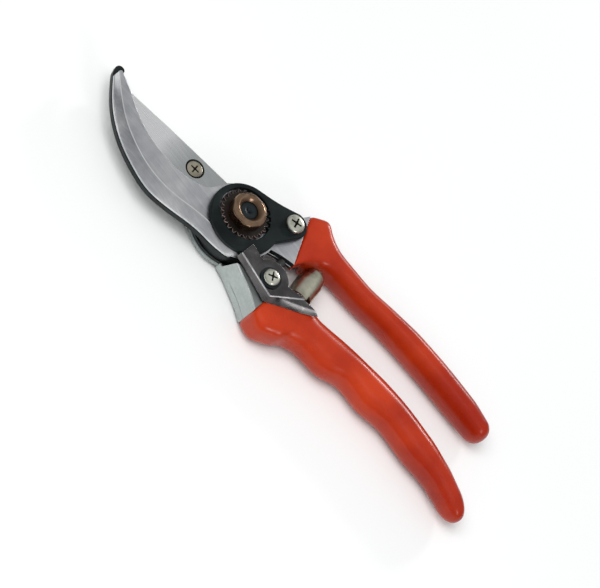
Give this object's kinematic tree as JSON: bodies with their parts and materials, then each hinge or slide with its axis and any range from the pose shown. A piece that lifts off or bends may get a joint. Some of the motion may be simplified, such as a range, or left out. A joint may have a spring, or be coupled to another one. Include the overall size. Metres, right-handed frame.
{
  "type": "bypass pruner",
  "caption": "Bypass pruner with hooked jaw, bevelled cutting blade, toothed pivot nut and lock plate, dipped grips, volute spring and thumb catch; opens and closes.",
  "frame": {"origin": "on the pivot axis, in the flat outer face of the pivot bolt's head, which the tool lies on", "axes": "+X from the pivot towards the handle ends, +Y towards the slender hook handle, +Z along the pivot axis towards the nut"},
  "size_m": [0.2166, 0.0621, 0.0225],
  "materials": {
    "hook_forging": "satin forged",
    "blade_steel": "ground and polished",
    "dark_steel": "dark hardened",
    "black_plate": "black satin",
    "bronze": "dark bronze",
    "bright_screw": "plated",
    "grip_red": "glossy dipped skin",
    "spring_steel": "plated strip",
    "rubber_black": "matt"
  },
  "bodies": {
    "hook_side": {"hook_handle": "hook_forging", "counter_blade": "dark_steel", "counter_blade_rivets": "dark_steel", "hook_grip": "grip_red", "lock_plate": "black_plate", "lock_plate_screw": "bright_screw", "pivot_nut": "bronze", "pivot_bolt": "dark_steel", "hook_spring_peg": "dark_steel"},
    "blade_side": {"blade_handle": "hook_forging", "cutting_blade": "blade_steel", "blade_screw": "bright_screw", "blade_locating_pin": "blade_steel", "pivot_bush": "bronze", "blade_grip": "grip_red", "bumper": "rubber_black", "blade_spring_peg": "dark_steel", "volute_spring": "spring_steel", "catch_bush": "dark_steel", "catch_washer": "dark_steel", "catch_screw": "bright_screw"},
    "catch": {"thumb_catch": "dark_steel"}
  },
  "joints": [
    {"name": "main_pivot", "type": "hinge", "parent": "hook_side", "child": "blade_side", "pos_m": [0, 0, 0.008], "axis": [0, 0, -1], "range_deg": [0, 36], "deforming": ["volute_spring"]},
    {"name": "catch_pivot", "type": "hinge", "parent": "blade_side", "child": "catch", "pos_m": [0.0251, -0.0115, 0.0182], "axis": [0, 0, 1], "range_deg": [0, 14]}
  ]
}
